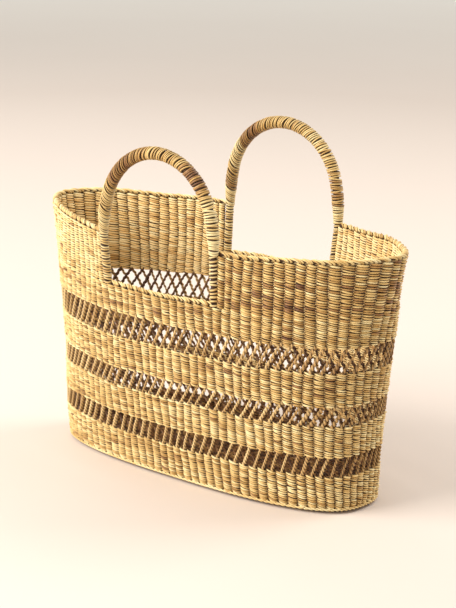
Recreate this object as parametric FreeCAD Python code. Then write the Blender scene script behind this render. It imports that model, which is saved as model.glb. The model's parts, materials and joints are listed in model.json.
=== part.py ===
import FreeCAD, Part
import math
import os

# A woven grass market basket: closed woven bands and open bands of crossed cords, standing on
# a flat woven base, with a notch in each long side and a wrapped handle arching over each notch.
# The origin is at the middle of the base, +X along the basket and +Z up. Millimetres.

# ---- overall shape ----
RIM_HEIGHT = 250.0           # height of the rim at the two ends
RIM_DIP = 6.8                # how much lower the rim would be at the middle of a long side
BASE_HALF_LENGTH = 186.0
RIM_HALF_LENGTH = 214.5
BASE_HALF_WIDTH = 67.0
RIM_HALF_WIDTH = 104.0
SIDE_BULGE = 3.0             # how far the long sides bow out at half height
BASE_SQUARENESS = 2.70       # superellipse exponent of the outline: 2 is a plain ellipse
RIM_SQUARENESS = 1.79
WALL = 6.0                   # thickness of the weave

# ---- heights of the bands ----
HEEL_TOP = 37.6              # top of the lowest woven band
SECOND_BAND = (57.2, 87.2)
THIRD_BAND = (106.7, 139.7)
UPPER_BAND_BOTTOM = 164.3
NOTCH_FLOOR = 195.6

# ---- base and heel ----
HEEL_ROUND = 11.0            # radius of the turn from the base into the wall
BASE_THICKNESS = 5.0

# ---- crossed cords ----
RIBS = 92                    # ribs round the basket, with one cord each way to a rib
CORD_RADIUS = 1.35
OUTER_CORD_INSET = 1.35      # cord centres, in from the outer face of the wall
INNER_CORD_INSET = 4.65
WIDE_LEAN = 1.5              # ribs that a cord crosses in the middle and upper open bands
NARROW_LEAN = 1.0            # and in the lowest open band

# ---- rim, sills and notch edges ----
BORDER_HEIGHT = 4.5          # plaited border on the rim and on the notch floors
BORDER_OVERHANG = 0.5        # how far the border stands out past the weave on both faces
EDGE_RADIUS = 4.0            # bound rib that closes each upright edge of a notch
GAP = 0.3                    # clearance between pieces that stand side by side

# ---- handles ----
HANDLE_HALF_SPAN = 70.0      # centre of a leg from the middle of the basket
HANDLE_INSET = 1.8           # centre of a leg in from the outer face of the wall
FRONT_RISE = 82.5            # height of each arch above its lean axis: the two are not quite alike
BACK_RISE = 90.5
CROWN_RADIUS = 67.5          # the arch is a crown arc between two flatter side arcs
CORE_RADIUS = 4.0
WRAP_RADIUS = 6.4
WRAP_CLEARANCE = 0.15        # between the core and what is wound on it
KNOT_CLEARANCE = 0.4         # between the curved core and the straight bore of a knot
WRAP_START = 16.8            # where the winding starts above the lean axis, clear of the knot
KNOT_START = 3.0             # the knot's lower end above the lean axis
KNOT_SHOULDER = 9.0          # where the knot has its full radius
KNOT_END = 16.0
KNOT_FOOT_RADIUS = 4.9
KNOT_RADIUS = 6.7
AXIS_DEPTH = 0.6             # lean axis below the top of the rim

RING_POINTS = 64             # points that an outline's curve passes through


def outline(z):
    """Half length, half width and squareness of the outer outline at a height."""
    s = z / RIM_HEIGHT
    half_length = BASE_HALF_LENGTH + (RIM_HALF_LENGTH - BASE_HALF_LENGTH) * s ** 2
    half_width = BASE_HALF_WIDTH + (RIM_HALF_WIDTH - BASE_HALF_WIDTH) * s + SIDE_BULGE * 4 * s * (1 - s)
    squareness = BASE_SQUARENESS + (RIM_SQUARENESS - BASE_SQUARENESS) * s
    return half_length, half_width, squareness


def wall_point(angle, z, inset):
    """Point on the wall at a stretched angle round the basket, a height and a depth."""
    half_length, half_width, n = outline(z)
    c = math.cos(angle)
    s = math.sin(angle)
    k = (abs(c) ** n + abs(s) ** n) ** (-1 / n)
    return FreeCAD.Vector((half_length - inset) * k * c, (half_width - inset) * k * s, z)


def side_y(x, z, inset):
    """Distance of a long side from the middle plane at a given x."""
    half_length, half_width, n = outline(z)
    reach = min(abs(x) / (half_length - inset), 1.0)
    return (half_width - inset) * (1 - reach ** n) ** (1 / n)


def rim_top(x):
    return RIM_HEIGHT - RIM_DIP * (1 - abs(x) / RIM_HALF_LENGTH)


def ring(z, inset):
    """Closed outline of the wall at a height."""
    points = [wall_point(2 * math.pi * i / RING_POINTS, z, inset) for i in range(RING_POINTS)]
    curve = Part.BSplineCurve()
    curve.interpolate(Points=points, PeriodicFlag=True)
    return Part.Wire([curve.toShape()])


def filled(stations):
    """Solid through outlines given as (height, inset)."""
    return Part.makeLoft([ring(z, inset) for z, inset in stations], True, False)


def band(bottom, top, inset=0.0, thickness=WALL):
    """Closed woven band between two heights."""
    middle = (bottom + top) / 2
    outer = filled([(z, inset) for z in (bottom, middle, top)])
    inner = filled([(z, inset + thickness) for z in (bottom, middle, top)])
    return outer.cut(inner)


def arc_stations(radius, depth):
    """Heights and insets of a quarter turn from the base into the wall."""
    turns = [math.radians(a) for a in (0, 22.5, 45, 67.5, 90)]
    return [(radius * (1 - math.cos(t)), depth + radius * (1 - math.sin(t))) for t in turns]


def base_panel():
    return filled([(0.0, HEEL_ROUND), (BASE_THICKNESS, HEEL_ROUND)])


def heel_band():
    """Lowest woven band, with the rounded turn that meets the edge of the base."""
    outside = filled(arc_stations(HEEL_ROUND, 0.0))
    outside = outside.fuse(filled([(HEEL_ROUND, 0.0), (HEEL_TOP, 0.0)]))
    inner_round = HEEL_ROUND - WALL
    turn = [(z + BASE_THICKNESS, inset) for z, inset in arc_stations(inner_round, WALL)]
    hollow = filled(turn)
    hollow = hollow.fuse(filled([(turn[-1][0], WALL), (HEEL_TOP, WALL)]))
    return outside.cut(hollow).cut(base_panel()).removeSplitter()


def rib_angles_table(z, samples=1440):
    """Distance round the wall against angle, from a fine walk round the outline."""
    table = [(0.0, 0.0)]
    last = wall_point(0.0, z, 0.0)
    for i in range(1, samples + 1):
        angle = 2 * math.pi * i / samples
        here = wall_point(angle, z, 0.0)
        table.append((table[-1][0] + (here - last).Length, angle))
        last = here
    return table


WALK = rib_angles_table(RIM_HEIGHT / 2)


def rib_angle(index):
    """Angle of a rib, or of a place between two ribs, counted from the +X end."""
    turns, part = divmod(index / RIBS, 1.0)
    target = part * WALK[-1][0]
    low = 0
    high = len(WALK) - 1
    while high - low > 1:
        middle = (low + high) // 2
        if WALK[middle][0] <= target:
            low = middle
        else:
            high = middle
    share = (target - WALK[low][0]) / (WALK[high][0] - WALK[low][0])
    return 2 * math.pi * turns + WALK[low][1] + share * (WALK[high][1] - WALK[low][1])


def leaning_rod(start, end, radius):
    """Round rod with level ends."""
    circle = Part.Wire([Part.makeCircle(radius, start)])
    return Part.Face(circle).extrude(end - start)


def cord_layer(bottom, top, inset, lean, phase):
    """Cords of one layer of an open band, all leaning the same way."""
    cords = []
    for rib in range(RIBS):
        start = wall_point(rib_angle(rib + phase), bottom, inset)
        end = wall_point(rib_angle(rib + phase + lean), top, inset)
        cords.append(leaning_rod(start, end, CORD_RADIUS))
    return Part.makeCompound(cords)


def openwork(bottom, top, lean):
    """Outer and inner layers of crossed cords between two bands."""
    outer = cord_layer(bottom, top, OUTER_CORD_INSET, lean, 0.0)
    inner = cord_layer(bottom, top, INNER_CORD_INSET, -lean, lean / 2)
    return outer, inner


def slab(x_low, x_high, z_low, z_high):
    """Block across the whole width of the basket."""
    reach = 2 * RIM_HALF_WIDTH
    corner = FreeCAD.Vector(x_low, -reach, z_low)
    return Part.makeBox(x_high - x_low, 2 * reach, z_high - z_low, corner)


SILL_BOTTOM = NOTCH_FLOOR - BORDER_HEIGHT
AXIS_Z = rim_top(HANDLE_HALF_SPAN) - AXIS_DEPTH
AXIS_Y = side_y(HANDLE_HALF_SPAN, AXIS_Z, HANDLE_INSET)


def notch_edge_x(z):
    """Middle of a notch's upright edge, which runs along a rib down from the handle's root."""
    half_length, _, n = outline(AXIS_Z)
    reach = (half_length - WALL / 2) / HANDLE_HALF_SPAN
    angle = math.atan((reach ** n - 1) ** (1 / n))
    return wall_point(angle, z, WALL / 2).x


def under_rim(side, depth, x_low, x_high):
    """Space below the sloping rim at one end of the basket, a given depth under its top.

    It starts at x_low at the sill and at x_high at the rim.
    """
    far = RIM_HALF_LENGTH + 10
    low = SILL_BOTTOM
    corners = [(x_low, low), (far, low), (far, rim_top(far) - depth), (x_high, rim_top(x_high) - depth)]
    points = [FreeCAD.Vector(side * x, -2 * RIM_HALF_WIDTH, z) for x, z in corners]
    face = Part.Face(Part.makePolygon(points + points[:1]))
    return face.extrude(FreeCAD.Vector(0, 4 * RIM_HALF_WIDTH, 0))


EDGE_CLEAR = EDGE_RADIUS + GAP
BORDER_START = HANDLE_HALF_SPAN + EDGE_CLEAR + 1.2


def end_panel(side):
    """Weave that rises beside the notches round one end."""
    wall = band(SILL_BOTTOM, RIM_HEIGHT)
    x_low = notch_edge_x(SILL_BOTTOM) + EDGE_CLEAR
    return wall.common(under_rim(side, BORDER_HEIGHT, x_low, HANDLE_HALF_SPAN + EDGE_CLEAR))


def rim_border(side):
    """Plaited border on the rim round one end."""
    bottom = RIM_HEIGHT - RIM_DIP - 2 * BORDER_HEIGHT
    wall = band(bottom, RIM_HEIGHT, -BORDER_OVERHANG, WALL + 2 * BORDER_OVERHANG)
    top = under_rim(side, 0.0, BORDER_START, BORDER_START)
    return wall.common(top).cut(under_rim(side, BORDER_HEIGHT, 0.0, 0.0))


def notch_sill(side):
    """Plaited border along the floor of one notch."""
    wall = band(SILL_BOTTOM, NOTCH_FLOOR, -BORDER_OVERHANG, WALL + 2 * BORDER_OVERHANG)
    half = notch_edge_x(SILL_BOTTOM) - EDGE_CLEAR
    block = Part.makeBox(2 * half, 2 * RIM_HALF_WIDTH, RIM_HEIGHT, FreeCAD.Vector(-half, 0, 0))
    if side < 0:
        block = block.mirror(FreeCAD.Vector(0, 0, 0), FreeCAD.Vector(0, 1, 0))
    return wall.common(block)


def notch_edge(x_side, y_side):
    """Bound rib that stands on the upper band and closes one upright edge of a notch."""
    low = SILL_BOTTOM
    high = AXIS_Z - CORE_RADIUS - 2 * GAP
    x = notch_edge_x(low)
    start = FreeCAD.Vector(x_side * x, y_side * side_y(x, low, WALL / 2), low)
    end = FreeCAD.Vector(x_side * HANDLE_HALF_SPAN, y_side * AXIS_Y, high)
    return leaning_rod(start, end, EDGE_RADIUS)


RISE = {-1: FRONT_RISE, 1: BACK_RISE}


def arch_side_radius(rise):
    """Radius of the flatter arcs that carry the crown arc down to the roots."""
    offset = rise - CROWN_RADIUS
    reach = HANDLE_HALF_SPAN ** 2 + offset ** 2 - CROWN_RADIUS ** 2
    return reach / (2 * (HANDLE_HALF_SPAN - CROWN_RADIUS))


def arch_wire(rise, start_height):
    """Centre line of a handle in its own upright plane, from a height above the lean axis."""
    span = HANDLE_HALF_SPAN
    side_radius = arch_side_radius(rise)
    join = math.atan2(rise - CROWN_RADIUS, side_radius - span)
    first = math.asin(start_height / side_radius)

    def on_side(angle):
        return span - side_radius + side_radius * math.cos(angle), side_radius * math.sin(angle)

    def vector(x, z):
        return FreeCAD.Vector(x, 0, z)

    start = on_side(first)
    middle = on_side((first + join) / 2)
    joint = on_side(join)
    right = Part.Arc(vector(*start), vector(*middle), vector(*joint))
    crown = Part.Arc(vector(*joint), vector(0, rise), vector(-joint[0], joint[1]))
    left = Part.Arc(vector(-joint[0], joint[1]), vector(-middle[0], middle[1]), vector(-start[0], start[1]))
    wire = Part.Wire([right.toShape(), crown.toShape(), left.toShape()])
    direction = FreeCAD.Vector(-math.sin(first), 0, math.cos(first))
    return wire, vector(*start), direction


def arch_tube(rise, radius, start_height):
    """Round bar bent along the arch."""
    wire, start, direction = arch_wire(rise, start_height)
    circle = Part.Wire([Part.makeCircle(radius, start, direction)])
    return wire.makePipeShell([circle], True, True)


def place_handle(shape, y_side):
    """Moves a piece from the arch's own plane to its place over one long side."""
    return shape.translated(FreeCAD.Vector(0, y_side * AXIS_Y, AXIS_Z))


def handle_core(y_side):
    """Stiff bundle inside a handle, with a rounded foot on each lean axis."""
    core = arch_tube(RISE[y_side], CORE_RADIUS, 0.0)
    for x_side in (-1, 1):
        core = core.fuse(Part.makeSphere(CORE_RADIUS, FreeCAD.Vector(x_side * HANDLE_HALF_SPAN, 0, 0)))
    return place_handle(core.removeSplitter(), y_side)


def handle_wrap(y_side):
    """Grass wound round the core from knot to knot."""
    outer = arch_tube(RISE[y_side], WRAP_RADIUS, WRAP_START)
    bore = arch_tube(RISE[y_side], CORE_RADIUS + WRAP_CLEARANCE, WRAP_START)
    return place_handle(outer.cut(bore), y_side)


def root_knot(x_side, y_side):
    """Tapered binding where a leg of a handle comes out of the rim."""
    inner = CORE_RADIUS + KNOT_CLEARANCE
    corners = [
        (inner, KNOT_START),
        (KNOT_FOOT_RADIUS, KNOT_START),
        (KNOT_RADIUS, KNOT_SHOULDER),
        (KNOT_RADIUS, KNOT_END),
        (inner, KNOT_END),
    ]
    points = [FreeCAD.Vector(r, 0, z) for r, z in corners]
    face = Part.Face(Part.makePolygon(points + points[:1]))
    knot = face.revolve(FreeCAD.Vector(0, 0, 0), FreeCAD.Vector(0, 0, 1), 360)
    middle = (KNOT_START + KNOT_END) / 2
    side_radius = arch_side_radius(RISE[y_side])
    lean = math.asin(middle / side_radius)
    knot.rotate(FreeCAD.Vector(0, 0, middle), FreeCAD.Vector(0, 1, 0), -x_side * math.degrees(lean))
    x = x_side * (HANDLE_HALF_SPAN - side_radius * (1 - math.cos(lean)))
    return place_handle(knot.translated(FreeCAD.Vector(x, 0, 0)), y_side)


def pieces():
    """Every piece of the basket by name."""
    made = {}
    made["base_panel"] = base_panel()
    made["heel_band"] = heel_band()
    made["second_band"] = band(*SECOND_BAND)
    made["third_band"] = band(*THIRD_BAND)
    made["upper_band"] = band(UPPER_BAND_BOTTOM, SILL_BOTTOM)

    open_bands = {
        "lower": (HEEL_TOP, SECOND_BAND[0], NARROW_LEAN),
        "middle": (SECOND_BAND[1], THIRD_BAND[0], WIDE_LEAN),
        "upper": (THIRD_BAND[1], UPPER_BAND_BOTTOM, WIDE_LEAN),
    }
    for name, (bottom, top, lean) in open_bands.items():
        made[name + "_outer_cords"], made[name + "_inner_cords"] = openwork(bottom, top, lean)

    for side_name, side in (("left", -1), ("right", 1)):
        made[side_name + "_end_panel"] = end_panel(side)
        made[side_name + "_rim_border"] = rim_border(side)

    for side_name, y_side in (("front", -1), ("back", 1)):
        made[side_name + "_notch_sill"] = notch_sill(y_side)
        made[side_name + "_handle_core"] = handle_core(y_side)
        made[side_name + "_handle_wrap"] = handle_wrap(y_side)
        for end_name, x_side in (("left", -1), ("right", 1)):
            made[side_name + "_" + end_name + "_notch_edge"] = notch_edge(x_side, y_side)
            made[side_name + "_" + end_name + "_root_knot"] = root_knot(x_side, y_side)
    return made


os.makedirs("parts", exist_ok=True)
for node, shape in pieces().items():
    box = shape.BoundBox
    print("%-26s solids %3d  valid %s  volume %9.0f  z %6.1f to %6.1f"
          % (node, len(shape.Solids), shape.isValid(), shape.Volume, box.ZMin, box.ZMax))
    shape.exportStep(os.path.join("parts", node + ".step"))
print("lean axis  y %.2f  z %.2f, notch edge foot at x %.2f" % (AXIS_Y, AXIS_Z, notch_edge_x(SILL_BOTTOM)))
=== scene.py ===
import json
import math

import bpy
import numpy as np
from mathutils import Matrix, Vector


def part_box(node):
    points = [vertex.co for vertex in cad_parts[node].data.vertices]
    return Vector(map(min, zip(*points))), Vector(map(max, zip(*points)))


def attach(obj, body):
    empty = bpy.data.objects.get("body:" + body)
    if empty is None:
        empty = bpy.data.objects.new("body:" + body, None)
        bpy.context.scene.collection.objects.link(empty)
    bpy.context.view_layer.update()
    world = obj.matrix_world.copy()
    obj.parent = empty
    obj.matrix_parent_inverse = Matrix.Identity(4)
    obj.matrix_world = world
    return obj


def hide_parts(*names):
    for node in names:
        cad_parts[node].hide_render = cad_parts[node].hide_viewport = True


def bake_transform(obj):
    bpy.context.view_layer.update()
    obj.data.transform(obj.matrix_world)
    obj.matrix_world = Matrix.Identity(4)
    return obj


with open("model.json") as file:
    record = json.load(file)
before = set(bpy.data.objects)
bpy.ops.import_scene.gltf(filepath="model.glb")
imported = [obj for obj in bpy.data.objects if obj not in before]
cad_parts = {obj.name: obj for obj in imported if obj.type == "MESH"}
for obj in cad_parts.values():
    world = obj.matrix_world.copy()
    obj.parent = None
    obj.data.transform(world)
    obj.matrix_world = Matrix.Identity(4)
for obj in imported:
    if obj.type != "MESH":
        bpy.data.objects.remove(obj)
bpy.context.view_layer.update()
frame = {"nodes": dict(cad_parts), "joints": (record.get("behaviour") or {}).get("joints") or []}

# A market basket twined from dry grass: closed bands of fine weft over upright ribs, open bands
# where the bare twisted stakes cross, a plaited rim, and two handles wound with grass.
# Everything is in metres, in the frame's own axes.

BODY = "basket"

# ---- shape of the wall, as in the frame ----
BORDER_OVERHANG = 0.0005
RIM_DIP = 0.0068
BASE_HALF_LENGTH = 0.186
BASE_HALF_WIDTH = 0.067
RIM_HALF_WIDTH = 0.104
SIDE_BULGE = 0.003
BASE_SQUARENESS = 2.70
RIM_SQUARENESS = 1.79
WALL = 0.006
HEEL_ROUND = 0.011
RIM_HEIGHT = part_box("right_rim_border")[1].z
RIM_HALF_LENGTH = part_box("right_rim_border")[1].x - BORDER_OVERHANG

# ---- bands, notches and handles, from the frame ----
HEEL_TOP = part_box("heel_band")[1].z
SECOND_BAND = (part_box("second_band")[0].z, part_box("second_band")[1].z)
THIRD_BAND = (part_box("third_band")[0].z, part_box("third_band")[1].z)
UPPER_BAND = (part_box("upper_band")[0].z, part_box("upper_band")[1].z)
NOTCH_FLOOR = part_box("front_notch_sill")[1].z
NOTCH_HALF_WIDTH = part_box("front_notch_sill")[1].x
BORDER_HEIGHT = NOTCH_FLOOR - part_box("front_notch_sill")[0].z
EDGE_RADIUS = 0.004
EDGE_FOOT_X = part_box("front_right_notch_edge")[0].x + EDGE_RADIUS
HANDLE_HALF_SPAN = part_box("front_right_notch_edge")[1].x - EDGE_RADIUS
AXIS_Y = abs(frame["joints"][0]["pos_m"][1])
AXIS_Z = frame["joints"][0]["pos_m"][2]
WRAP_RADIUS = 0.0064
KNOT_END = 0.016
CROWN_RADIUS = 0.0675

KNOT_FOOT = -0.0020          # lower end of a root knot, along the handle from its root
KNOT_FOOT_RADIUS = 0.0049
POST_RADIUS = 0.0043         # to the outside of the turns on a notch's edge
STAKE_RADIUS = 0.0030

# ---- weave ----
RIBS = 92
PITCH = 0.0101               # nominal width of a rib
ROW = 0.0024                 # nominal height of a row of weft
STITCH_HALF = 0.545 * PITCH  # from a stitch's middle to either end
STITCH_LEAN = -0.0009        # how far its right end stands above its middle
INNER_REACH = 1.05           # inner stitches against outer ones: longer,
INNER_RELIEF = 0.8           # flatter
INNER_THICKNESS = 1.14       # and closer together
EDGE_THICKNESS = 1.15        # the first and last rows of a band are thicker
EDGE_RELIEF = 1.12           # and stand prouder
CORE_THICKNESS = 0.0009      # of the solid core between outer and inner stitches
STANDING = 0.0008            # below this height the grass is pressed flat on the floor
BASE_EDGE = HEEL_ROUND - HEEL_ROUND * math.pi / 2    # level where the heel runs into the base
EDGE_STRAND = 0.0042         # level of the strand round the base's edge
BASE_SLOT = 0.0015           # half width of the slot that the spine cord closes
SPINE_RADIUS = 0.0024
GAP = 0.0003                 # clearance between pieces that stand side by side

# ---- bare cords ----
PLY_OFFSET = 0.00080         # from a cord's middle to the middle of each of its two plies
PLY_RADIUS = 0.00100
CORD_OUT = 0.0014            # each layer's distance from the middle of the wall
CORD_TUCK = 0.0022           # how far its ends run into the bands
RIGHT_END_SHADE = 0.25         # painted shade: how much darker the cords are painted round the right end, away from the light

# ---- plaited border ----
RIM_TOP_DEPTH = 0.0026       # centre of the border below its top
BORDER_STRETCH = 1.18        # how much taller its turns are than they were modelled
BORDER_DEPTH = 1.38          # and how much deeper
BORDER_SLANT = 0.34          # ribs that a strand crosses as it rolls over by a radian
BUNDLE = 3                   # strands in a bundle, one bundle to a rib
BUNDLE_CLOSE = 0.035         # how far, in ribs, the strands of a bundle close up
BUNDLE_PINCH = 0.06          # and how much further at their feet


# ======== places on the basket ========

def outline(height):
    """Half length, half width and squareness of the outer outline at a height."""
    s = np.maximum(height, 0.0) / RIM_HEIGHT
    half_length = BASE_HALF_LENGTH + (RIM_HALF_LENGTH - BASE_HALF_LENGTH) * s ** 2
    bow = SIDE_BULGE * 4 * s * (1 - s)
    half_width = BASE_HALF_WIDTH + (RIM_HALF_WIDTH - BASE_HALF_WIDTH) * s + bow
    squareness = BASE_SQUARENESS + (RIM_SQUARENESS - BASE_SQUARENESS) * s
    return half_length, half_width, squareness


def wall_points(angle, height, inset):
    """Points on the wall at a stretched angle round the basket, a height and a depth."""
    half_length, half_width, n = outline(height)
    c = np.cos(angle)
    s = np.sin(angle)
    k = (np.abs(c) ** n + np.abs(s) ** n) ** (-1 / n)
    x = (half_length - inset) * k * c
    y = (half_width - inset) * k * s
    return np.stack(np.broadcast_arrays(x, y, height), -1)


def walk_round():
    """Angle against share of the way round the wall at half height."""
    angles = np.linspace(0, 2 * math.pi, 1441)
    points = wall_points(angles, np.full_like(angles, RIM_HEIGHT / 2), 0.0)
    steps = np.linalg.norm(np.diff(points, axis=0), axis=1)
    way = np.concatenate([[0.0], np.cumsum(steps)])
    return way / way[-1], angles


WAY, WAY_ANGLES = walk_round()


def rib_angle(rib):
    """Angle of a rib, or of a place between two ribs, counted from the +X end."""
    turns = np.floor(rib / RIBS)
    share = rib / RIBS - turns
    return turns * 2 * math.pi + np.interp(share, WAY, WAY_ANGLES)


def rib_at(x, side, height):
    """Rib, with its fraction, that stands at x on the front (-1) or back (1) side."""
    ribs = np.linspace(0, RIBS / 2, 921) * side
    xs = wall_points(rib_angle(ribs), np.full_like(ribs, height), WALL / 2)[:, 0]
    return float(np.interp(-x, -xs, ribs))


def unevenness(rib, level):
    """How far handwork strays from the plan: sideways in ribs, outwards and upwards in metres."""
    u = 2 * math.pi * rib / RIBS
    free = np.clip((level - HEEL_ROUND) / 0.03, 0, 1)
    sideways = 0.10 * np.sin(7 * u + 30 * level) + 0.07 * np.sin(17 * u - 60 * level + 0.7)
    outwards = 0.0008 * np.sin(5 * u + 1.3 + 38 * level) + 0.0005 * np.sin(13 * u + 2.1 - 55 * level)
    upwards = 0.0006 * np.sin(4 * u + 0.4) + 0.0005 * np.sin(11 * u + 2)
    return sideways * free, outwards * free, upwards * free


def cloth_points(rib, out, level):
    """Points of the flat weave laid on the basket.

    rib counts round the basket, out is the distance outwards from the middle of the wall, and
    level is the height up the wall, carried on as a length round the heel and in along the base.
    """
    sideways, outwards, upwards = unevenness(rib, level)
    rib = rib + sideways
    o = out + outwards - WALL / 2
    level = level + upwards
    turn = np.clip((HEEL_ROUND - level) / HEEL_ROUND, 0, math.pi / 2)
    along_base = np.maximum(HEEL_ROUND - HEEL_ROUND * math.pi / 2 - level, 0)
    inset = HEEL_ROUND - (HEEL_ROUND + o) * np.cos(turn) + along_base
    height = np.maximum(level, HEEL_ROUND) - (HEEL_ROUND + o) * np.sin(turn)
    pressed = STANDING * np.exp(np.minimum(height / STANDING - 1, 0))
    height = np.where(height < STANDING, pressed, height)
    return wall_points(rib_angle(rib), height, inset)


def steady(value):
    """A measure that is the same at every place: a level edge, or a turn's constant radius."""
    def measure(place):
        return np.full_like(np.asarray(place, float), value)
    return measure


def rim_level(rib):
    """Height of the top of the rim at a rib."""
    x = np.abs(wall_points(rib_angle(rib), np.full_like(rib, RIM_HEIGHT), WALL / 2)[..., 0])
    return RIM_HEIGHT - RIM_DIP * (1 - x / RIM_HALF_LENGTH)


def arch(side_name, y_side):
    """Length of a handle's centre line from the right root, and the function for points about it."""
    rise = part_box(side_name + "_handle_wrap")[1].z - WRAP_RADIUS - AXIS_Z
    offset = rise - CROWN_RADIUS
    reach = HANDLE_HALF_SPAN ** 2 + offset ** 2 - CROWN_RADIUS ** 2
    side_radius = reach / (2 * (HANDLE_HALF_SPAN - CROWN_RADIUS))
    side_x = HANDLE_HALF_SPAN - side_radius
    join = math.atan2(offset, -side_x)
    side_length = side_radius * join
    length = 2 * side_length + CROWN_RADIUS * (math.pi - 2 * join)

    def points(way, outward, across):
        on_right = way < side_length
        on_left = way > length - side_length
        on_crown = join + (way - side_length) / CROWN_RADIUS
        angle = np.where(on_right, way / side_radius, on_crown)
        angle = np.where(on_left, math.pi - (length - way) / side_radius, angle)
        radius = np.where(on_right | on_left, side_radius, CROWN_RADIUS)
        centre_x = np.where(on_right, side_x, np.where(on_left, -side_x, 0.0))
        centre_z = np.where(on_right | on_left, 0.0, offset)
        x = centre_x + (radius + outward) * np.cos(angle)
        z = AXIS_Z + centre_z + (radius + outward) * np.sin(angle)
        return np.stack([x, y_side * AXIS_Y + across, z], -1)

    return length, points


# ======== modelling ========

def deselect():
    if bpy.context.object and bpy.context.object.mode != "OBJECT":
        bpy.ops.object.mode_set(mode="OBJECT")
    bpy.ops.object.select_all(action="DESELECT")


def made(name):
    """The new object with its place in its mesh, named."""
    bpy.ops.object.transform_apply(location=True, rotation=True, scale=True)
    piece = bpy.context.object
    piece.name = name
    piece.data.name = name
    return piece


FIRST_RADIUS = 0.001         # of the circle that a strand grows from


def strand(name, stations, sides, along="X"):
    """Closed strand through stations of (place along, sideways, upwards, half depth, half height)."""
    deselect()
    turned = (0, math.pi / 2, 0) if along == "X" else (0, 0, 0)
    bpy.ops.mesh.primitive_circle_add(
        vertices=sides, radius=FIRST_RADIUS, fill_type="NGON", rotation=turned)
    piece = made(name)

    def place(station):
        first, second, third = station[:3]
        return Vector((first, second, third)) if along == "X" else Vector((second, third, first))

    def widths(station):
        return (1, station[3], station[4]) if along == "X" else (station[3], station[4], 1)

    bpy.ops.object.mode_set(mode="EDIT")
    bpy.ops.mesh.select_all(action="SELECT")
    start = [1 if width == 1 else width / FIRST_RADIUS for width in widths(stations[0])]
    bpy.ops.transform.resize(value=start, center_override=(0, 0, 0))
    bpy.ops.transform.translate(value=place(stations[0]))
    for before, after in zip(stations, stations[1:]):
        step = place(after) - place(before)
        growth = [b / a for a, b in zip(widths(before), widths(after))]
        bpy.ops.mesh.extrude_region_move(TRANSFORM_OT_translate={"value": step})
        bpy.ops.transform.resize(value=growth, center_override=place(after))
    bpy.ops.mesh.select_all(action="SELECT")
    bpy.ops.mesh.normals_make_consistent(inside=False)
    bpy.ops.object.mode_set(mode="OBJECT")
    bpy.ops.object.shade_smooth()
    return piece


def winding(name, radius, half_width, half_height, around, section):
    """One closed turn of grass about Z, flattened against what it is wound on."""
    deselect()
    bpy.ops.mesh.primitive_torus_add(
        major_segments=around, minor_segments=section,
        major_radius=radius - half_height, minor_radius=half_height)
    piece = made(name)
    bpy.ops.object.mode_set(mode="EDIT")
    bpy.ops.mesh.select_all(action="SELECT")
    bpy.ops.transform.resize(value=(1, 1, half_width / half_height), center_override=(0, 0, 0))
    bpy.ops.object.mode_set(mode="OBJECT")
    bpy.ops.object.shade_smooth()
    return piece


def copies(pattern, name, count):
    """A new piece that holds count copies of a pattern, one after another."""
    deselect()
    pattern.select_set(True)
    bpy.context.view_layer.objects.active = pattern
    bpy.ops.object.duplicate()
    piece = bpy.context.object
    piece.name = name
    piece.data.name = name
    array = piece.modifiers.new("copies", "ARRAY")
    array.use_relative_offset = False
    array.count = count
    bpy.ops.object.modifier_apply(modifier=array.name)
    return piece


def discard(*patterns):
    for pattern in patterns:
        bpy.data.objects.remove(pattern)


def read_points(piece):
    points = np.zeros(len(piece.data.vertices) * 3, np.float32)
    piece.data.vertices.foreach_get("co", points)
    return points.reshape(-1, 3).astype(float)


def write_points(piece, points):
    """Moves every point of a closed piece, and keeps its faces pointing outwards."""
    mesh = piece.data
    mesh.vertices.foreach_set("co", points.astype(np.float32).ravel())
    mesh.calc_loop_triangles()
    corners = np.zeros(len(mesh.loop_triangles) * 3, np.int32)
    mesh.loop_triangles.foreach_get("vertices", corners)
    first, second, third = points[corners.reshape(-1, 3)].transpose(1, 0, 2)
    volume = np.sum(first * np.cross(second, third))
    if volume < 0:
        mesh.flip_normals()
    mesh.update()


def write_value(piece, name, values):
    """Stores a number for every point of the mesh."""
    layer = piece.data.attributes.new(name, "FLOAT", "POINT")
    layer.data.foreach_set("value", values.astype(np.float32).ravel())


def write_vector(piece, name, values):
    """Stores a vector for every point of the mesh."""
    layer = piece.data.attributes.new(name, "FLOAT_VECTOR", "POINT")
    layer.data.foreach_set("vector", values.astype(np.float32).ravel())


def mark_strands(piece, local, tint, tuck, random):
    """Stores what the straw finish reads: colour, painted shade where a place runs under other strands or
    lies between them, and grain position.
    """
    count = len(tint)
    shift = random.uniform(-1, 1, (count, 1, 3))
    write_vector(piece, "grain", local + shift)
    write_value(piece, "tint", np.repeat(tint, local.shape[1]))
    write_value(piece, "tuck", tuck)


def cover(piece, material):
    """Gives a piece its finish."""
    piece.data.materials.clear()
    piece.data.materials.append(material)


def settle(piece, nodes, material, body=BODY):
    """Gives a piece its finish and its body, and hides the frame nodes that it stands for."""
    cover(piece, material)
    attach(piece, body)
    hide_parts(*nodes)


def row_tints(rows, ribs, random, low, high):
    """Colour of each stitch.

    Two weft strands take turns along a row and change slowly along it, and here and there a few
    rows are of browner grass.
    """
    knots = max(ribs // 7, 2)
    tints = np.zeros((rows, ribs))
    for row in range(rows):
        for ply in range(2):
            ends = random.uniform(low, high, knots + 1)
            line = np.interp(np.linspace(0, knots, ribs), np.arange(knots + 1), ends)
            tints[row, ply::2] = line[ply::2]
    for _ in range(rows * ribs // 30):
        row = random.integers(0, rows)
        rib = random.integers(0, ribs)
        tall = random.integers(1, 5)
        wide = random.integers(1, 3)
        tints[row:row + tall, rib:rib + wide] -= random.uniform(0.06, 0.22)
    return np.clip(tints + random.normal(0, 0.09, tints.shape), 0, 1)


# ======== finishes ========

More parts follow.
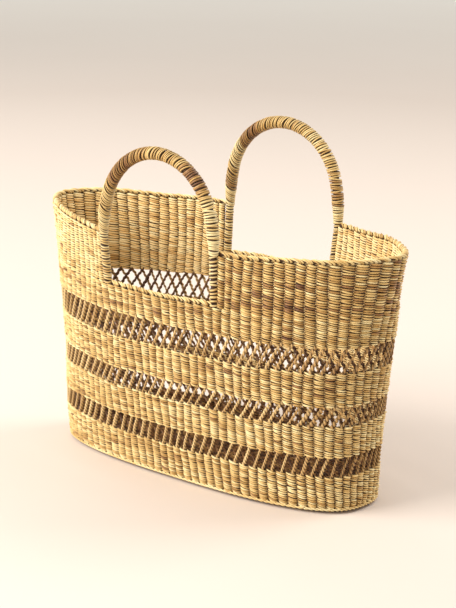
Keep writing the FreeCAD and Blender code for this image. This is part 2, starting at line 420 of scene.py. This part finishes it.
class Wire:
    """A value in a material's nodes. Arithmetic on it adds Math nodes."""

    def __init__(self, tree, socket=None):
        self.tree = tree
        self.socket = socket

    def make(self, kind, settings=None, inputs=None, output=0):
        """Adds a node of a kind, with its settings, and values or wires for its sockets."""
        node = self.tree.nodes.new(kind)
        for name, value in (settings or {}).items():
            if name == "stops":
                ramp = node.color_ramp
                while len(ramp.elements) < len(value):
                    ramp.elements.new(1.0)
                for element, (position, colour) in zip(ramp.elements, value):
                    element.position = position
                    element.color = (*colour, 1.0)
            else:
                setattr(node, name, value)
        for name, value in (inputs or {}).items():
            if isinstance(value, Wire):
                self.tree.links.new(value.socket, node.inputs[name])
            else:
                node.inputs[name].default_value = value
        return Wire(self.tree, node.outputs[output])

    def maths(self, operation, first, second):
        return self.make("ShaderNodeMath", {"operation": operation}, {0: first, 1: second})

    def __add__(self, other):
        return self.maths("ADD", self, other)

    __radd__ = __add__

    def __mul__(self, other):
        return self.maths("MULTIPLY", self, other)

    __rmul__ = __mul__

    def __sub__(self, other):
        return self.maths("SUBTRACT", self, other)

    def __rsub__(self, other):
        return self.maths("SUBTRACT", other, self)

    def __pow__(self, other):
        return self.maths("POWER", self, other)


def new_material(name):
    material = bpy.data.materials.new(name)
    material.use_nodes = True
    tree = material.node_tree
    shader = tree.nodes["Principled BSDF"]
    return material, Wire(tree), shader


def mixed(net, share, first, second, blend="MIX"):
    """Mix of two colours by a share."""
    return net.make("ShaderNodeMix", {"data_type": "RGBA", "blend_type": blend},
                    {0: share, 6: first, 7: second}, output=2)


def straw(name, stops, shadow, painted_shade_weight=0.75, streaks=0.35, bump=0.6, roughness=0.52, sheen=0.15):
    """Dry grass: each strand has its own colour and fine lengthwise fibres, with painted shade mixed in
    towards the shadow colour where strands run under others and between them.
    """
    material, net, shader = new_material(name)
    tint = net.make("ShaderNodeAttribute", {"attribute_name": "tint"}, output=2)
    tuck = net.make("ShaderNodeAttribute", {"attribute_name": "tuck"}, output=2)
    grain = net.make("ShaderNodeAttribute", {"attribute_name": "grain"}, output=1)
    place = net.make("ShaderNodeTexCoord", output=3)

    stretched = net.make("ShaderNodeVectorMath", {"operation": "MULTIPLY"},
                         {0: grain, 1: (90, 1500, 1500)})
    fibres = net.make("ShaderNodeTexNoise", None, {"Vector": stretched, "Scale": 1.0, "Detail": 3.0})
    blotch = net.make("ShaderNodeTexNoise", None, {"Vector": place, "Scale": 38.0, "Detail": 2.0})
    patch = net.make("ShaderNodeTexNoise", None, {"Vector": place, "Scale": 9.0, "Detail": 1.0})

    shade = tint + (fibres - 0.5) * streaks + (blotch - 0.5) * 0.35 + (patch - 0.5) * 0.25
    colour = net.make("ShaderNodeValToRGB", {"stops": stops}, {"Fac": shade})
    # Painted shade: the stored shade mask, raised to a power and weighted for each finish, mixes the
    # colour towards the shadow colour.
    painted_shade_share = tuck ** 1.6 * painted_shade_weight
    colour = mixed(net, painted_shade_share, colour, (*shadow, 1.0))
    net.tree.links.new(colour.socket, shader.inputs["Base Color"])

    dull = fibres * 0.25 + (roughness - 0.12)
    net.tree.links.new(dull.socket, shader.inputs["Roughness"])
    raised = net.make("ShaderNodeBump", None, {"Strength": bump, "Distance": 0.0004, "Height": fibres})
    net.tree.links.new(raised.socket, shader.inputs["Normal"])
    shader.inputs["Sheen Weight"].default_value = sheen
    shader.inputs["Sheen Roughness"].default_value = 0.4
    shader.inputs["Specular IOR Level"].default_value = 0.45
    return material


def pith(name, dark, light):
    """Stakes and weft ends deep in the weave, seen only between the strands: their dark fibre is painted
    shade.
    """
    material, net, shader = new_material(name)
    place = net.make("ShaderNodeTexCoord", output=3)
    stretched = net.make("ShaderNodeVectorMath", {"operation": "MULTIPLY"},
                         {0: place, 1: (900, 900, 90)})
    fibres = net.make("ShaderNodeTexNoise", None, {"Vector": stretched, "Scale": 1.0, "Detail": 2.0})
    colour = net.make("ShaderNodeValToRGB", {"stops": [(0.3, dark), (0.7, light)]}, {"Fac": fibres})
    net.tree.links.new(colour.socket, shader.inputs["Base Color"])
    rough = fibres * 0.2 + 0.7
    net.tree.links.new(rough.socket, shader.inputs["Roughness"])
    raised = net.make("ShaderNodeBump", None, {"Strength": 0.5, "Distance": 0.0005, "Height": fibres})
    net.tree.links.new(raised.socket, shader.inputs["Normal"])
    return material


SHADOW = (0.045, 0.018, 0.006)
STRAW_STOPS = [
    (0.00, (0.160, 0.062, 0.022)),
    (0.25, (0.350, 0.168, 0.050)),
    (0.50, (0.590, 0.350, 0.100)),
    (0.75, (0.830, 0.580, 0.225)),
    (1.00, (0.930, 0.765, 0.400)),
]
CORD_STOPS = [
    (0.00, (0.100, 0.040, 0.014)),
    (0.40, (0.270, 0.130, 0.042)),
    (0.75, (0.500, 0.290, 0.095)),
    (1.00, (0.840, 0.600, 0.270)),
]
INSIDE_STOPS = [
    (0.00, (0.090, 0.036, 0.013)),
    (0.25, (0.300, 0.140, 0.045)),
    (0.50, (0.700, 0.420, 0.140)),
    (0.75, (0.930, 0.640, 0.260)),
    (1.00, (0.970, 0.790, 0.430)),
]


# ======== pieces of weave ========

OUTSIDE = (0.46, 1.00)       # range of straw colours, 0 dark to 1 pale
INSIDE = (0.66, 1.00)
SHADED = (0.10, 0.40)        # painted shade: darker straw low down inside, where the base and heel lie in shade
# painted shade: darker straw on the underside of the base, which lies in the basket's shadow
UNDERSIDE_SHADE = (0.10, 0.45)


def stitch_pattern():
    """One weft stitch over a rib: full and proud on the left, it thins and tucks in on the right."""
    profile = [(-1.00, -0.0004, 0.00055, 0.00056), (-0.86, 0.0009, 0.00092, 0.00088),
               (-0.55, 0.0020, 0.00112, 0.00097), (-0.05, 0.0025, 0.00114, 0.00094),
               (0.40, 0.0017, 0.00102, 0.00080), (0.75, 0.0003, 0.00078, 0.00060),
               (1.00, -0.0010, 0.00050, 0.00043)]
    stations = []
    for share, out, deep, tall in profile:
        stations.append((STITCH_HALF * share, out, STITCH_LEAN * share, deep, tall))
    return strand("stitch", stations, sides=6)


def all_round():
    """Middles and widths, in ribs, of the columns of stitches of a full round."""
    return np.arange(RIBS, dtype=float), np.ones(RIBS)


def between(start, end):
    """Middles and widths of the columns from one place to another. The end ones share what is left."""
    edges = np.arange(math.ceil(start - 0.5) + 0.5, end, 1.0)
    if edges[0] - start < 0.5:
        edges[0] = (start + edges[1]) / 2
    if end - edges[-1] < 0.5:
        edges[-1] = (edges[-2] + end) / 2
    edges = np.concatenate([[start], edges, [end]])
    return (edges[1:] + edges[:-1]) / 2, np.diff(edges)


def lay_weave(name, stitch, columns, rows, low, high, inside, seed, tints):
    """Rows of stitches over columns. low and high give the level of the edges at a rib."""
    random = np.random.default_rng(seed)
    middles, widths = columns
    ribs = len(middles)
    count = rows * ribs
    piece = copies(stitch, name, count)
    local = read_points(piece).reshape(count, -1, 3)
    facing = -1.0 if inside else 1.0

    centre = np.tile(middles, rows)
    width = np.tile(widths, rows)[:, None]
    bottom = low(centre)
    top = high(centre)
    row = np.repeat(np.arange(rows), ribs)
    level = bottom + (row + 0.5) / rows * (top - bottom)
    fit = (top - bottom) / rows / ROW

    edge = (row == 0) | (row == rows - 1)
    thick = random.normal(INNER_THICKNESS if inside else 1.0, 0.10, count)
    thick = thick * np.where(edge, EDGE_THICKNESS, 1.0)
    slant = random.normal(1.0, 0.30, count)
    bulge = random.normal(1.0, 0.07, count)
    shift = random.normal(0.0, 0.00016, (count, 2))

    x = local[..., 0] * (-INNER_REACH if inside else 1.0)
    out = local[..., 1]
    up = local[..., 2]
    lean = STITCH_LEAN * local[..., 0] / STITCH_HALF
    up = (up - lean) * thick[:, None] * fit[:, None] + lean * slant[:, None]
    relief = INNER_RELIEF if inside else 1.0
    out = out * bulge[:, None] * np.where(edge, EDGE_RELIEF, 1.0)[:, None] * relief
    rib = centre[:, None] + (x + shift[:, :1]) / PITCH * width
    points = cloth_points(rib, out * facing, level[:, None] + up + shift[:, 1:])
    write_points(piece, points.reshape(-1, 3))
    # Painted shade: darkest at each stitch's right end, where it dives under the next, a little at its
    # left end, on its lower-lying parts, and along its top and bottom where it meets the rows beside it.
    # The darker right ends also stand for light coming from the left.
    share = local[..., 0] / STITCH_HALF
    tuck = np.where(share > 0, np.abs(share) ** 3, np.abs(share) ** 8 * 0.6)
    beside = np.abs(local[..., 2] - STITCH_LEAN * share) / 0.0010
    tuck = tuck + np.clip((0.0007 - out) / 0.0015, 0, 0.5) + 0.60 * np.clip(beside, 0, 1) ** 2
    tuck = np.clip(tuck, 0, 1)
    tint = row_tints(rows, ribs, random, *tints).ravel() + np.where(edge, 0.06, 0.0)
    mark_strands(piece, local, np.clip(tint, 0, 1), tuck, random)
    return piece


def lay_lining(name, start, end, low, high, rings):
    """Solid core of a woven band, between its outer and inner stitches."""
    deselect()
    ribs = end - start
    whole = ribs >= RIBS
    across = round(ribs * 2)
    bpy.ops.mesh.primitive_grid_add(x_subdivisions=across, y_subdivisions=rings, size=1)
    piece = made(name)
    flat = read_points(piece)
    rib = start + (flat[:, 0] + 0.5) * ribs
    bottom = low(rib)
    level = bottom + (flat[:, 1] + 0.5) * (high(rib) - bottom)
    sheet = cloth_points(rib, np.zeros_like(rib), level)
    piece.data.vertices.foreach_set("co", sheet.astype(np.float32).ravel())
    piece.data.update()
    bpy.context.view_layer.objects.active = piece
    piece.select_set(True)
    bpy.ops.object.mode_set(mode="EDIT")
    bpy.ops.mesh.select_all(action="SELECT")
    if whole:
        bpy.ops.mesh.remove_doubles(threshold=0.00005)
    bpy.ops.mesh.normals_make_consistent(inside=False)
    bpy.ops.object.mode_set(mode="OBJECT")
    solid = piece.modifiers.new("thickness", "SOLIDIFY")
    solid.thickness = CORE_THICKNESS
    solid.offset = 0.0
    bpy.ops.object.modifier_apply(modifier=solid.name)
    bpy.ops.object.shade_smooth()
    return piece


def woven_band(node, low, high, rows, seed, stitch, finishes, reach=None,
               tints=OUTSIDE, inner_tints=INSIDE, outer_from=None):
    """A closed band: outer stitches, inner stitches and the core between them.

    reach gives the ribs where a part round ends, and outer_from the lower edge and the number of
    rows of the outer stitches where they differ.
    """
    outside, inside, core = finishes
    columns = between(*reach) if reach else all_round()
    start, end = reach or (-0.5, RIBS - 0.5)
    outer_low, outer_rows = outer_from or (low, rows)
    outer = lay_weave(node + "_outside", stitch, columns, outer_rows, outer_low, high, False, seed, tints)
    inner = lay_weave(node + "_inside", stitch, columns, rows, low, high, True, seed + 1, inner_tints)
    lining = lay_lining(node + "_core", start, end, low, high, max(rows // 2, 2))
    settle(outer, [node], outside)
    settle(inner, [node], inside)
    settle(lining, [node], core)


def base_weave(stitch, finishes, cord, spine_finish):
    """The flat base: rows of the same stitches that close in to a cord along the middle."""
    outside, inside, core = finishes
    reach = BASE_HALF_WIDTH - HEEL_ROUND - BASE_SLOT
    low = steady(BASE_EDGE - reach)
    high = steady(BASE_EDGE)
    outmost = steady(EDGE_STRAND)
    # The underside and the inside of the base take darker tints as painted shade.
    under = lay_weave("base_underside", stitch, all_round(), 20, low, outmost, False, 71, UNDERSIDE_SHADE)
    upper = lay_weave("base_inside", stitch, all_round(), 16, low, high, True, 72, SHADED)
    inmost = steady(BASE_EDGE - reach - BASE_SLOT * 0.8)
    lining = lay_lining("base_core", -0.5, RIBS - 0.5, inmost, high, 8)
    settle(under, ["base_panel"], outside)
    settle(upper, ["base_panel"], inside)
    settle(lining, ["base_panel"], core)
    lay_spine(cord, spine_finish)


def lay_spine(cord, finish):
    """Two-ply cord along the middle of the base."""
    random = np.random.default_rng(73)
    lengths = 8
    half_length = BASE_HALF_LENGTH - BASE_HALF_WIDTH + 0.002
    piece = copies(cord, "base_spine", lengths)
    local = read_points(piece).reshape(lengths, -1, 3)
    way = (np.arange(lengths)[:, None] + local[..., 2]) / lengths
    scale = SPINE_RADIUS / (PLY_OFFSET + PLY_RADIUS)
    points = np.stack([(2 * way - 1) * half_length, local[..., 1] * scale,
                       WALL / 2 - local[..., 0] * scale], -1)
    write_points(piece, points.reshape(-1, 3))
    grain = np.stack([way * half_length * 2, local[..., 0], local[..., 1]], -1)
    # Painted shade in the groove between the plies.
    mark_strands(piece, grain, random.uniform(0.3, 0.5, lengths), groove(local) * 0.7, random)
    settle(piece, ["base_panel"], finish)


# ======== open bands ========

def groove(local):
    """Painted shade between two plies: 1 in the groove, falling to 0 on their backs."""
    reach = np.hypot(local[..., 0], local[..., 1]) / (PLY_OFFSET + PLY_RADIUS)
    return np.clip((0.95 - reach) / 0.5, 0, 1)


def cord_pattern():
    """Two plies twisted round each other, one unit tall, as a strand pair along Z."""
    plies = []
    steps = 20
    turns = 3.5
    for ply in range(2):
        stations = []
        for i in range(steps + 1):
            angle = 2 * math.pi * turns * i / steps + math.pi * ply
            across = PLY_OFFSET * math.cos(angle)
            deep = PLY_OFFSET * math.sin(angle)
            stations.append((i / steps, across, deep, PLY_RADIUS, PLY_RADIUS))
        plies.append(strand("ply", stations, sides=5, along="Z"))
    deselect()
    for ply in plies:
        ply.select_set(True)
    bpy.context.view_layer.objects.active = plies[0]
    bpy.ops.object.join()
    return bpy.context.object


def lay_cords(name, cord, low, high, lean, phase, out, seed, tints, back_painted_light=0.0):
    """A layer of crossed cords. Each leans across so many ribs from the band below to the one above.

    They can be painted paler at the back of the basket, as painted light, and are painted darker round
    its right end, as painted shade.
    """
    random = np.random.default_rng(seed)
    piece = copies(cord, name, RIBS)
    local = read_points(piece).reshape(RIBS, -1, 3)
    share = local[..., 2]
    foot = np.arange(RIBS) + phase + random.normal(0, 0.05, RIBS)
    head = np.arange(RIBS) + phase + lean + random.normal(0, 0.05, RIBS)
    slack = random.normal(0, 0.06, RIBS)[:, None] * np.sin(math.pi * share)
    rise = high - low + 2 * CORD_TUCK
    slope = abs(lean) * PITCH / rise
    spin = random.uniform(0, 2 * math.pi, RIBS)[:, None]
    girth = random.normal(1.0, 0.10, RIBS)[:, None]
    across = (local[..., 0] * np.cos(spin) - local[..., 1] * np.sin(spin)) * girth
    deep = (local[..., 0] * np.sin(spin) + local[..., 1] * np.cos(spin)) * girth
    stretch = math.sqrt(1 + slope ** 2)
    rib = foot[:, None] + (head - foot)[:, None] * share + slack + across * stretch / PITCH
    level = low - CORD_TUCK + rise * share
    points = cloth_points(rib, out + deep, level)
    write_points(piece, points.reshape(-1, 3))
    grain = np.stack([share * rise, local[..., 0], local[..., 1]], -1)
    tint = random.uniform(*tints, RIBS)
    around = 2 * math.pi * np.arange(RIBS) / RIBS
    # Painted light: paler at the back of the basket. Painted shade: darker round the right end.
    tint = tint + back_painted_light * np.clip(2 * np.sin(around) - 1, 0, 1)
    tint = tint - RIGHT_END_SHADE * np.clip(3 * np.cos(around) - 2, 0, 1)
    # Painted shade at the ends, where the cords run into the bands, and in the groove between the plies.
    ends = np.clip(np.abs(share - 0.5) * 2, 0, 1) ** 6
    mark_strands(piece, grain, tint, np.clip(ends * 0.6 + groove(local), 0, 1), random)
    return piece


def lay_edge_cord(name, nodes, cord, radius, seed, finish):
    """Two-ply strand that runs round the edge of the base."""
    angle = 1 - EDGE_STRAND / HEEL_ROUND
    random = np.random.default_rng(seed)
    lengths = 23
    piece = copies(cord, name, lengths)
    local = read_points(piece).reshape(lengths, -1, 3)
    scale = radius / (PLY_OFFSET + PLY_RADIUS)
    span = RIBS / lengths
    rib = (np.arange(lengths)[:, None] + local[..., 2]) * span
    outwards = local[..., 0] * scale
    downwards = local[..., 1] * scale
    reach = HEEL_ROUND + 0.0009
    inset = HEEL_ROUND - reach * math.cos(angle) - outwards
    height = HEEL_ROUND - reach * math.sin(angle) - downwards
    points = wall_points(rib_angle(rib), height, inset)
    write_points(piece, points.reshape(-1, 3))
    grain = np.stack([local[..., 2] * span * PITCH, local[..., 0], local[..., 1]], -1)
    # Painted shade in the groove between the plies.
    mark_strands(piece, grain, random.uniform(0.7, 0.95, lengths), groove(local) * 0.7, random)
    settle(piece, nodes, finish)


def open_band(name, low, high, lean, cord, seed, finish):
    """The bare stakes between two woven bands, one layer leaning each way."""
    outer_node = name + "_outer_cords"
    inner_node = name + "_inner_cords"
    # The outer cords' pale tints are partly their own colour and partly painted light. The inner cords'
    # dark tints are painted shade behind the outer layer, made paler at the back as painted light.
    outer = lay_cords(outer_node + "_twisted", cord, low, high, lean, 0.0, CORD_OUT, seed, (0.8, 1.0))
    inner = lay_cords(inner_node + "_twisted", cord, low, high, -lean, lean / 2, -CORD_OUT, seed + 1,
                      (0.0, 0.40), back_painted_light=0.35)
    settle(outer, [outer_node], finish)
    settle(inner, [inner_node], finish)


# ======== borders ========

def lay_border(name, node, turn, ribs_from, ribs_to, top, seed, finish, core):
    """Plaited border: bundles of strands that roll over the edge, slanting down to the right."""
    random = np.random.default_rng(seed)

    def low(rib):
        return top(rib) - 2 * RIM_TOP_DEPTH

    def high(rib):
        return top(rib) - 0.45 * RIM_TOP_DEPTH

    filling = lay_lining(name + "_core", ribs_from, ribs_to, low, high, 2)
    settle(filling, [node], core)
    first = math.ceil(ribs_from * BUNDLE)
    last = math.floor(ribs_to * BUNDLE)
    places = np.arange(first, last + 1)
    count = len(places)
    piece = copies(turn, name, count)
    local = read_points(piece).reshape(count, -1, 3)
    inner_part = places % BUNDLE - 1
    centre = places / BUNDLE - inner_part * BUNDLE_CLOSE + random.normal(0, 0.02, count)
    angle = np.arctan2(-local[..., 1], local[..., 0])
    roll = angle * (1 - (np.abs(angle) / math.pi) ** 3)
    pinch = BUNDLE_PINCH * np.clip(np.abs(angle) / (0.6 * math.pi), 0, 1) ** 2
    swell = (np.array([0.90, 1.06, 0.94])[places % BUNDLE] + random.normal(0, 0.05, count))[:, None]
    rib = centre[:, None] - inner_part[:, None] * pinch + local[..., 2] / PITCH - BORDER_SLANT * roll
    rib = rib + random.normal(0, 0.05, count)[:, None] * roll
    level = top(centre)[:, None] - RIM_TOP_DEPTH + local[..., 0] * swell * BORDER_STRETCH
    out = local[..., 1] * BORDER_DEPTH * swell
    points = cloth_points(rib, out, level)
    write_points(piece, points.reshape(-1, 3))
    # Painted shade where the strands roll under, and along each strand's sides, between neighbours.
    side = np.clip(np.abs(local[..., 2]) / np.abs(local[..., 2]).max(), 0, 1) ** 4
    tuck = np.clip((np.abs(angle) / math.pi * 1.35) ** 3 + 0.4 * side, 0, 1)
    lengthwise = angle * 0.003
    grain = np.stack([lengthwise, local[..., 2], np.zeros_like(lengthwise)], -1)
    mark_strands(piece, grain, random.uniform(0.55, 1.0, count), tuck, random)
    settle(piece, [node], finish)


# ======== handles ========

def lay_windings(name, turn, start, end, spacing, radius_at, place, seed, slant, tints, broad=1.0):
    """Turns of grass side by side along a bar. slant gives their lean at a place along it."""
    random = np.random.default_rng(seed)
    count = max(int((end - start) / spacing), 2)
    piece = copies(turn, name, count)
    local = read_points(piece).reshape(count, -1, 3)
    way = start + (np.arange(count) + 0.5) / count * (end - start)
    way = way + random.normal(0, 0.00010, count)
    scale = radius_at(way) / WRAP_RADIUS * random.normal(1.0, 0.012, count)
    tilt = slant(way) + random.normal(0, 0.07, count)
    turned = random.normal(0, 0.11, count)
    outward = local[..., 0] * scale[:, None]
    across = local[..., 1] * scale[:, None]
    width = broad * random.normal(1.0, 0.12, count) / np.hypot(1, tilt)
    along = way[:, None] + local[..., 2] * width[:, None]
    along = along - tilt[:, None] * outward + turned[:, None] * across
    points = place(along, outward, across)
    write_points(piece, points.reshape(-1, 3))
    angle = np.arctan2(local[..., 1], local[..., 0])
    grain = np.stack([angle * WRAP_RADIUS, local[..., 2], np.hypot(local[..., 0], local[..., 1])], -1)
    # Painted shade towards each turn's edges, between neighbouring turns.
    tuck = np.clip(np.abs(local[..., 2]) / np.abs(local[..., 2]).max(), 0, 1) ** 3
    tint = np.clip(tints(way) + random.normal(0, 0.11, count), 0, 1)
    mark_strands(piece, grain, tint, tuck, random)
    return piece


WRAP_SHADES = {
    "front": [(0.0, 0.85), (0.20, 0.80), (0.25, 0.15), (0.33, 0.25), (0.38, 0.60), (0.50, 0.60),
              (0.62, 0.40), (0.76, 0.35), (0.85, 0.65), (1.0, 0.70)],
    "back": [(0.0, 0.85), (0.07, 0.45), (0.20, 0.65), (0.50, 0.70), (0.62, 0.55), (0.67, 0.20),
             (0.72, 0.30), (0.76, 0.85), (0.84, 0.80), (0.88, 0.40), (0.94, 0.45), (1.0, 0.85)],
}
WRAP_SLANTS = [(0.0, 0.05), (0.22, 0.10), (0.38, 0.34), (0.60, 0.50), (0.80, 0.70), (1.0, 0.62)]


def handle(side_name, y_side, turn, wrap_finish, knot_finish, core_finish, seed):
    """One handle: the wound arch, and the pale knots that follow its curve at its roots."""
    body = side_name + "_handle"
    length, on_arch = arch(side_name, y_side)

    def shades(way):
        return np.interp(way / length, *zip(*WRAP_SHADES[side_name]))

    def slants(way):
        return np.interp(way / length, *zip(*WRAP_SLANTS))

    wrap = lay_windings(side_name + "_handle_windings", turn, KNOT_END, length - KNOT_END, 0.0023,
                        steady(WRAP_RADIUS), on_arch, seed, slants, shades)
    settle(wrap, [side_name + "_handle_wrap"], wrap_finish, body)

    for end_name, x_side in (("left", -1), ("right", 1)):
        knot_node = side_name + "_" + end_name + "_root_knot"
        ends = (KNOT_FOOT, KNOT_END) if x_side > 0 else (length - KNOT_END, length - KNOT_FOOT)

        def taper(way, x_side=x_side):
            above = way if x_side > 0 else length - way
            share = np.clip((above - KNOT_FOOT) / (KNOT_END - KNOT_FOOT), 0, 1)
            return KNOT_FOOT_RADIUS + (WRAP_RADIUS - KNOT_FOOT_RADIUS) * share ** 1.5

        knot = lay_windings(knot_node + "_windings", turn, ends[0], ends[1], 0.0019, taper, on_arch,
                            seed + 5 + x_side, slants, steady(0.88))
        cover(knot, knot_finish)
        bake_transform(knot)
        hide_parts(knot_node)

    # The handle's core shows only between the turns. Its dark finish is painted shade.
    cover(frame["nodes"][side_name + "_handle_core"], core_finish)


def notch_edge(side_name, y_side, end_name, x_side, turn, finish, core, seed):
    """Bound rib at a notch's edge: turns of weft round a stake whose dark colour is painted shade between
    the turns, spaced out on the front right.
    """
    spaced = y_side < 0 < x_side
    spacing, broad = (0.0038, 1.25) if spaced else (0.0026, 1.10)
    node = side_name + "_" + end_name + "_notch_edge"
    low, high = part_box(node)
    foot_y = (high.y if y_side < 0 else low.y) + y_side * EDGE_RADIUS
    foot = np.array([x_side * EDGE_FOOT_X, foot_y, low.z])
    head = np.array([x_side * HANDLE_HALF_SPAN, y_side * AXIS_Y, high.z])
    length = head[2] - foot[2]

    def on_post(way, outward, across):
        share = np.clip(way / length, -0.1, 1.1)[..., None]
        offset = np.stack([x_side * outward, y_side * across, np.zeros_like(way)], -1)
        return foot + (head - foot) * share + offset

    bound = lay_windings(node + "_windings", turn, 0.0005, length + 0.0025, spacing,
                         steady(POST_RADIUS), on_post, seed, steady(-0.16), steady(0.74), broad)
    settle(bound, [node], finish)

    stations = [(way, 0, 0, STAKE_RADIUS, STAKE_RADIUS) for way in (0.0, length / 2, length + 0.003)]
    stake = strand(node + "_stake", stations, sides=10, along="Z")
    straight = read_points(stake)
    write_points(stake, on_post(straight[:, 2], straight[:, 0], straight[:, 1]))
    settle(stake, [node], core)


# ======== stage, light and camera ========

LIGHT_DISTANCE = 2.6


def stage():
    deselect()
    bpy.ops.mesh.primitive_plane_add(size=12)
    floor = made("floor")
    material, net, shader = new_material("pale_floor")
    place = net.make("ShaderNodeTexCoord", output=3)
    cloud = net.make("ShaderNodeTexNoise", None, {"Vector": place, "Scale": 1.2, "Detail": 2.0})
    away = net.make("ShaderNodeVectorMath", {"operation": "LENGTH"}, {0: place}, output=1)
    # Painted light: the floor is paler further from the basket, making up for the lamps' light falling
    # off with distance. The cloud is the floor's own uneven tone.
    shade = (away - 2.5) * 0.50 + (cloud - 0.5) * 0.2
    stops = [(0.0, (0.735, 0.642, 0.573)), (1.0, (0.985, 0.945, 0.880))]
    colour = net.make("ShaderNodeValToRGB", {"stops": stops}, {"Fac": shade})
    net.tree.links.new(colour.socket, shader.inputs["Base Color"])
    shader.inputs["Roughness"].default_value = 0.8
    floor.data.materials.append(material)


def area_light(name, azimuth, elevation, size, power, colour):
    """Square soft light aimed at the basket. Azimuth 0 is straight in front, and grows to the right."""
    across = math.radians(azimuth)
    above = math.radians(elevation)
    middle = Vector((0, 0, 0.12))
    ray = Vector((math.sin(across) * math.cos(above),
                  -math.cos(across) * math.cos(above),
                  math.sin(above)))
    deselect()
    bpy.ops.object.light_add(type="AREA", location=middle + ray * LIGHT_DISTANCE)
    light = bpy.context.object
    light.name = name
    light.data.size = size
    light.data.energy = power
    light.data.color = colour
    light.rotation_euler = ray.to_track_quat("Z", "Y").to_euler()


def lights():
    area_light("key", -32, 31, 2.0, 96, (1.0, 0.97, 0.92))
    area_light("back_right", 150, 40, 1.3, 32, (1.0, 0.97, 0.93))
    area_light("back_left", -115, 35, 1.3, 8, (1.0, 0.98, 0.95))
    world = bpy.data.worlds.new("pale_room")
    world.use_nodes = True
    background = world.node_tree.nodes["Background"]
    background.inputs["Color"].default_value = (1.0, 0.97, 0.92, 1.0)
    background.inputs["Strength"].default_value = 0.68
    bpy.context.scene.world = world


CAMERA_AZIMUTH = math.radians(40.175)
CAMERA_ELEVATION = math.radians(14.651)
CAMERA_ROLL = math.radians(1.248)
CAMERA_DISTANCE = 1.9608
CAMERA_AIM = Vector((0.00936, 0.0, 0.16727))
LENS = 118.36


def camera():
    """Camera at the viewing angle, level but for a small roll."""
    back = Vector((math.sin(CAMERA_AZIMUTH) * math.cos(CAMERA_ELEVATION),
                   -math.cos(CAMERA_AZIMUTH) * math.cos(CAMERA_ELEVATION),
                   math.sin(CAMERA_ELEVATION)))
    right = (-back).cross(Vector((0, 0, 1))).normalized()
    up = right.cross(-back)
    turned_right = right * math.cos(CAMERA_ROLL) + up * math.sin(CAMERA_ROLL)
    turned_up = up * math.cos(CAMERA_ROLL) - right * math.sin(CAMERA_ROLL)
    data = bpy.data.cameras.new("camera")
    data.lens = LENS
    data.sensor_width = 36.0
    eye = bpy.data.objects.new("camera", data)
    bpy.context.scene.collection.objects.link(eye)
    turn = Matrix((turned_right, turned_up, back)).transposed()
    eye.matrix_world = Matrix.Translation(CAMERA_AIM + back * CAMERA_DISTANCE) @ turn.to_4x4()
    bpy.context.scene.camera = eye
    bpy.context.scene.view_settings.view_transform = "Standard"


# ======== the whole basket ========

def build():
    wall = straw("grass_weave", STRAW_STOPS, SHADOW, painted_shade_weight=0.86)
    inner = straw("inside_weave", INSIDE_STOPS, SHADOW, painted_shade_weight=0.20, streaks=0.25)
    bare = straw("twisted_grass", CORD_STOPS, SHADOW, painted_shade_weight=0.85, streaks=0.4)
    plait = straw("plaited_grass", STRAW_STOPS, SHADOW, painted_shade_weight=0.7)
    wound = straw("wound_grass", STRAW_STOPS, SHADOW, painted_shade_weight=0.66, roughness=0.45)
    pale = straw("pale_grass", STRAW_STOPS, SHADOW, painted_shade_weight=0.65)
    # The dark cores and stems show only between the strands and turns. Their darkness is painted shade.
    core = pith("painted_shade_core", (0.030, 0.012, 0.005), (0.110, 0.050, 0.020))
    stems = pith("stem_bundle_painted_shade", (0.05, 0.022, 0.008), (0.16, 0.08, 0.03))
    finishes = (wall, inner, core)

    stitch = stitch_pattern()
    woven_band("heel_band", steady(BASE_EDGE), steady(HEEL_TOP), 18, 11, stitch, finishes,
               inner_tints=SHADED, outer_from=(steady(EDGE_STRAND), 15))
    woven_band("second_band", *map(steady, SECOND_BAND), 14, 21, stitch, finishes)
    woven_band("third_band", *map(steady, THIRD_BAND), 15, 31, stitch, finishes)
    woven_band("upper_band", *map(steady, UPPER_BAND), 14, 41, stitch, finishes)
    cord = cord_pattern()
    base_weave(stitch, finishes, cord, pale)

    def under_border(rib):
        return rim_level(rib) - BORDER_HEIGHT

    start = steady(UPPER_BAND[1])
    notch_rib = rib_at(HANDLE_HALF_SPAN, 1, AXIS_Z)
    reach = notch_rib - (EDGE_RADIUS + GAP) / PITCH
    opposite = RIBS / 2
    woven_band("right_end_panel", start, under_border, 22, 51, stitch, finishes, (-reach, reach),
               tints=(0.28, 0.90))
    woven_band("left_end_panel", start, under_border, 22, 61, stitch, finishes,
               (opposite - reach, opposite + reach), tints=(0.68, 1.0))

    open_band("lower", HEEL_TOP, SECOND_BAND[0], 1.0, cord, 81, bare)
    open_band("middle", SECOND_BAND[1], THIRD_BAND[0], 1.5, cord, 83, bare)
    open_band("upper", THIRD_BAND[1], UPPER_BAND[0], 1.5, cord, 85, bare)
    lay_edge_cord("base_edge_strand", ["heel_band"], cord, 0.0015, 88, pale)

    border_turn = winding("border_turn", 0.0024, 0.00128, 0.00100, 12, 5)
    lay_border("right_rim_plait", "right_rim_border", border_turn,
               -reach, reach, rim_level, 91, plait, core)
    lay_border("left_rim_plait", "left_rim_border", border_turn,
               opposite - reach, opposite + reach, rim_level, 92, plait, core)
    sill = steady(NOTCH_FLOOR)
    inner_end = rib_at(NOTCH_HALF_WIDTH, 1, NOTCH_FLOOR)
    lay_border("back_sill_plait", "back_notch_sill", border_turn,
               inner_end, opposite - inner_end, sill, 93, plait, core)
    lay_border("front_sill_plait", "front_notch_sill", border_turn,
               inner_end + opposite, RIBS - inner_end, sill, 94, plait, core)

    turn = winding("turn", WRAP_RADIUS, 0.00103, 0.00085, 16, 6)
    for side_name, y_side, seed in (("front", -1, 101), ("back", 1, 111)):
        handle(side_name, y_side, turn, wound, pale, stems, seed)
        for end_name, x_side in (("left", -1), ("right", 1)):
            notch_edge(side_name, y_side, end_name, x_side, turn, wall, core, seed + 3 + x_side)
    discard(stitch, cord, border_turn, turn)


build()
stage()
lights()
camera()
